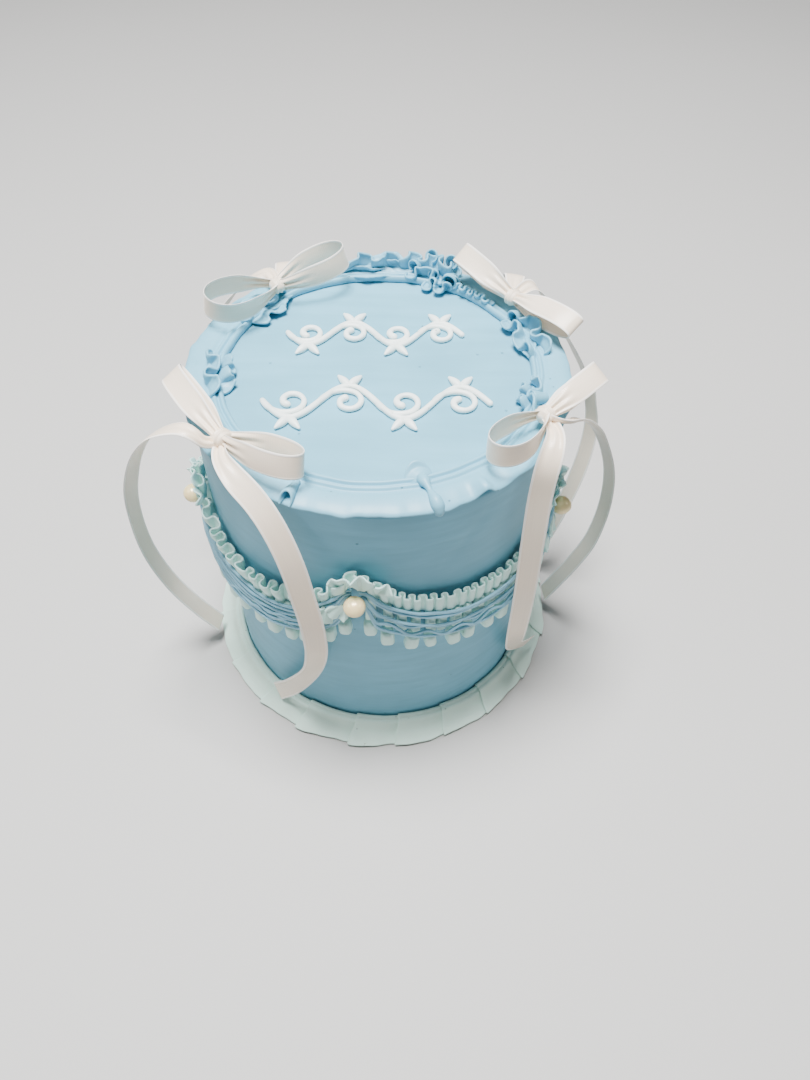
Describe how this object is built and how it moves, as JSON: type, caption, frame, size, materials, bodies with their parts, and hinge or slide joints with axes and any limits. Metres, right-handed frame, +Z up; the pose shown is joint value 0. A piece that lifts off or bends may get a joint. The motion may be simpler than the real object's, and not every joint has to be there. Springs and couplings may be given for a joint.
{
  "type": "layer cake",
  "caption": "Tall round layer cake in blue buttercream with piped borders, a draped ruffled garland, sugar pearls, long-tailed satin bows and a piped scroll on top.",
  "frame": {"origin": "centre of the cake's flat foot", "axes": "+Z up, -Y towards the front, +X to the right seen from the front"},
  "size_m": [0.2196, 0.1918, 0.1893],
  "materials": {
    "icing_blue": "soft matt blue buttercream with faint spatula streaks",
    "icing_deep_blue": "soft satin deeper blue buttercream",
    "icing_mint": "soft satin pale mint buttercream",
    "icing_white": "slightly glossy off-white buttercream",
    "satin_ivory": "ivory satin ribbon with a soft sheen and a lighter selvedge",
    "sugar_pearl": "cream sugar pearl with a pearly lustre"
  },
  "bodies": {
    "root": {"cake": "icing_blue", "top_border": "icing_deep_blue", "base_border": "icing_mint", "swag_ruffle_front_left": "icing_mint", "swag_ruffle_front_right": "icing_mint", "swag_ruffle_right": "icing_mint", "swag_ruffle_back": "icing_mint", "swag_ruffle_left": "icing_mint", "swag_lattice_front_left": "icing_deep_blue", "swag_lattice_front_right": "icing_deep_blue", "swag_lattice_right": "icing_deep_blue", "swag_lattice_back": "icing_deep_blue", "swag_lattice_left": "icing_deep_blue", "pearl_front": "sugar_pearl", "pearl_right": "sugar_pearl", "pearl_back_right": "sugar_pearl", "pearl_back_left": "sugar_pearl", "pearl_left": "sugar_pearl", "bow_front_left": "satin_ivory", "bow_front_right": "satin_ivory", "bow_back_left": "satin_ivory", "bow_back_right": "satin_ivory", "tail_front_left_outer": "satin_ivory", "tail_front_left_inner": "satin_ivory", "tail_front_right_outer": "satin_ivory", "tail_front_right_inner": "satin_ivory", "tail_back_left_outer": "satin_ivory", "tail_back_left_inner": "satin_ivory", "tail_back_right_outer": "satin_ivory", "tail_back_right_inner": "satin_ivory", "scroll_upper": "icing_white", "scroll_lower": "icing_white"}
  },
  "joints": []
}
